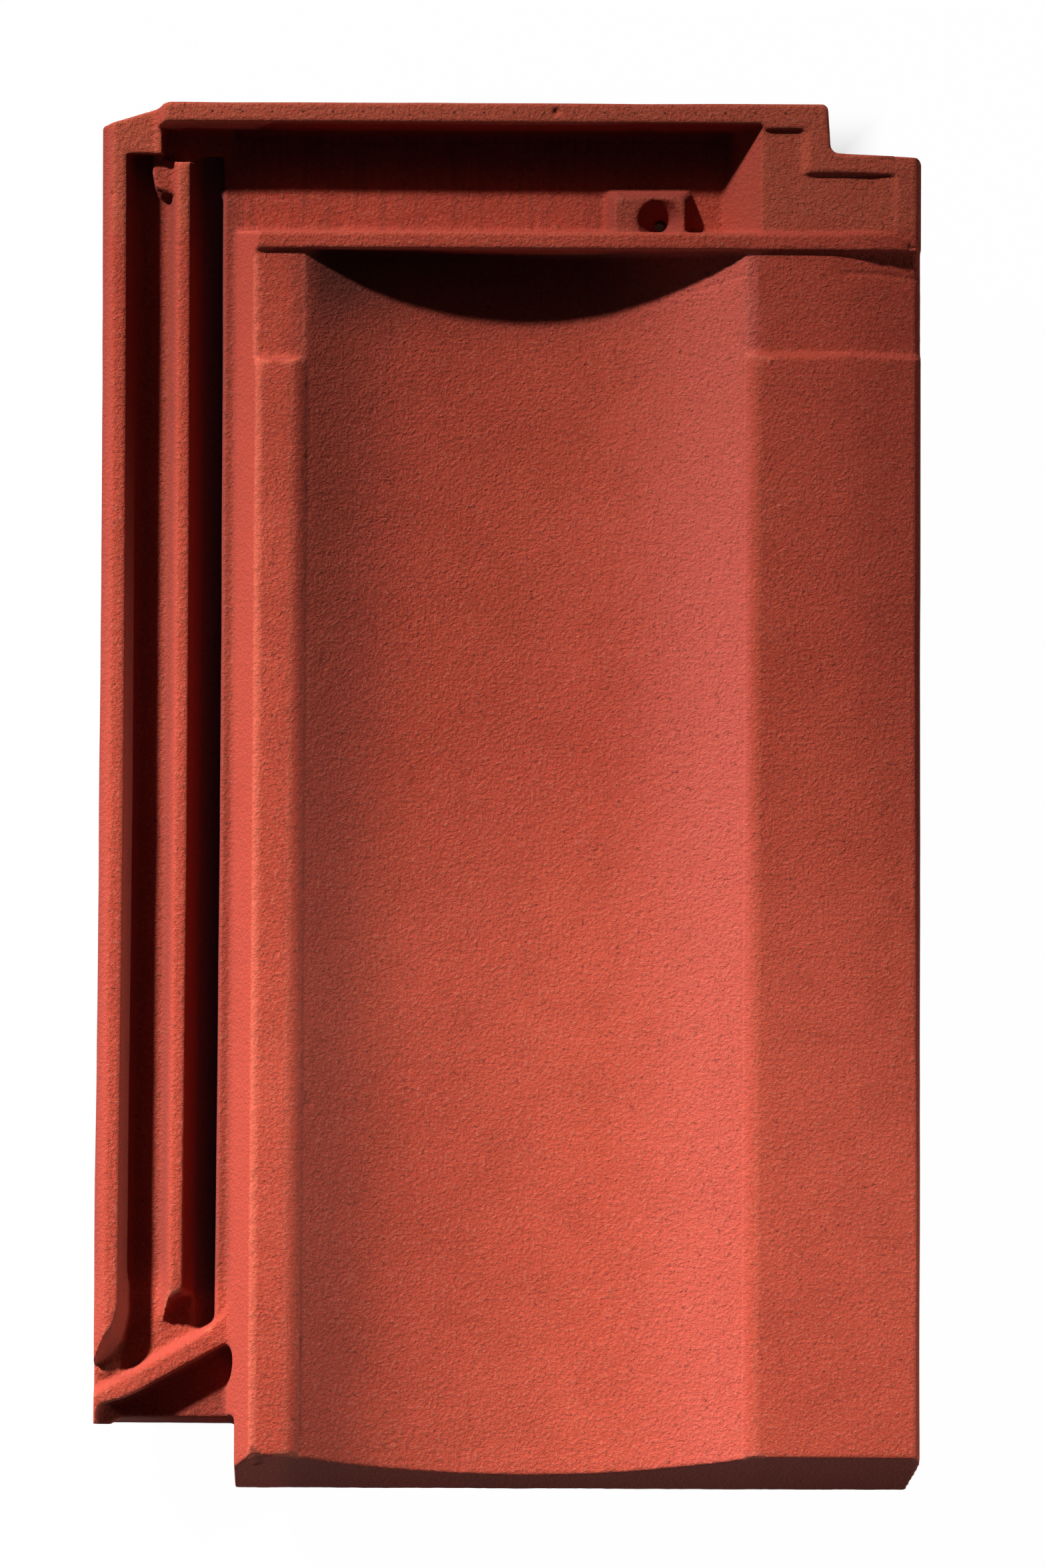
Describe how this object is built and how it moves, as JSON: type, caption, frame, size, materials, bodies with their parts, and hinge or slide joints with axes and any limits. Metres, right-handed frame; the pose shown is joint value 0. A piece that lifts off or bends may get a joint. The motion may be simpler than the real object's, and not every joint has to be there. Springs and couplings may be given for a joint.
{
  "type": "clay roof tile",
  "caption": "Interlocking fired-clay roof tile with a wide shallow trough, double side lock, head lock, cover flange and hanging nibs.",
  "frame": {"origin": "centre of the footprint on the level the tile rests on: nib tips and cross rib", "axes": "+Z out of the weather side, +Y towards the head lock, -X towards the side lock"},
  "size_m": [0.28, 0.472, 0.041],
  "materials": {
    "fired_clay": "matt brick-red fired clay with a fine sandy grain"
  },
  "bodies": {
    "root": {"clay_tile": "fired_clay"}
  },
  "joints": []
}
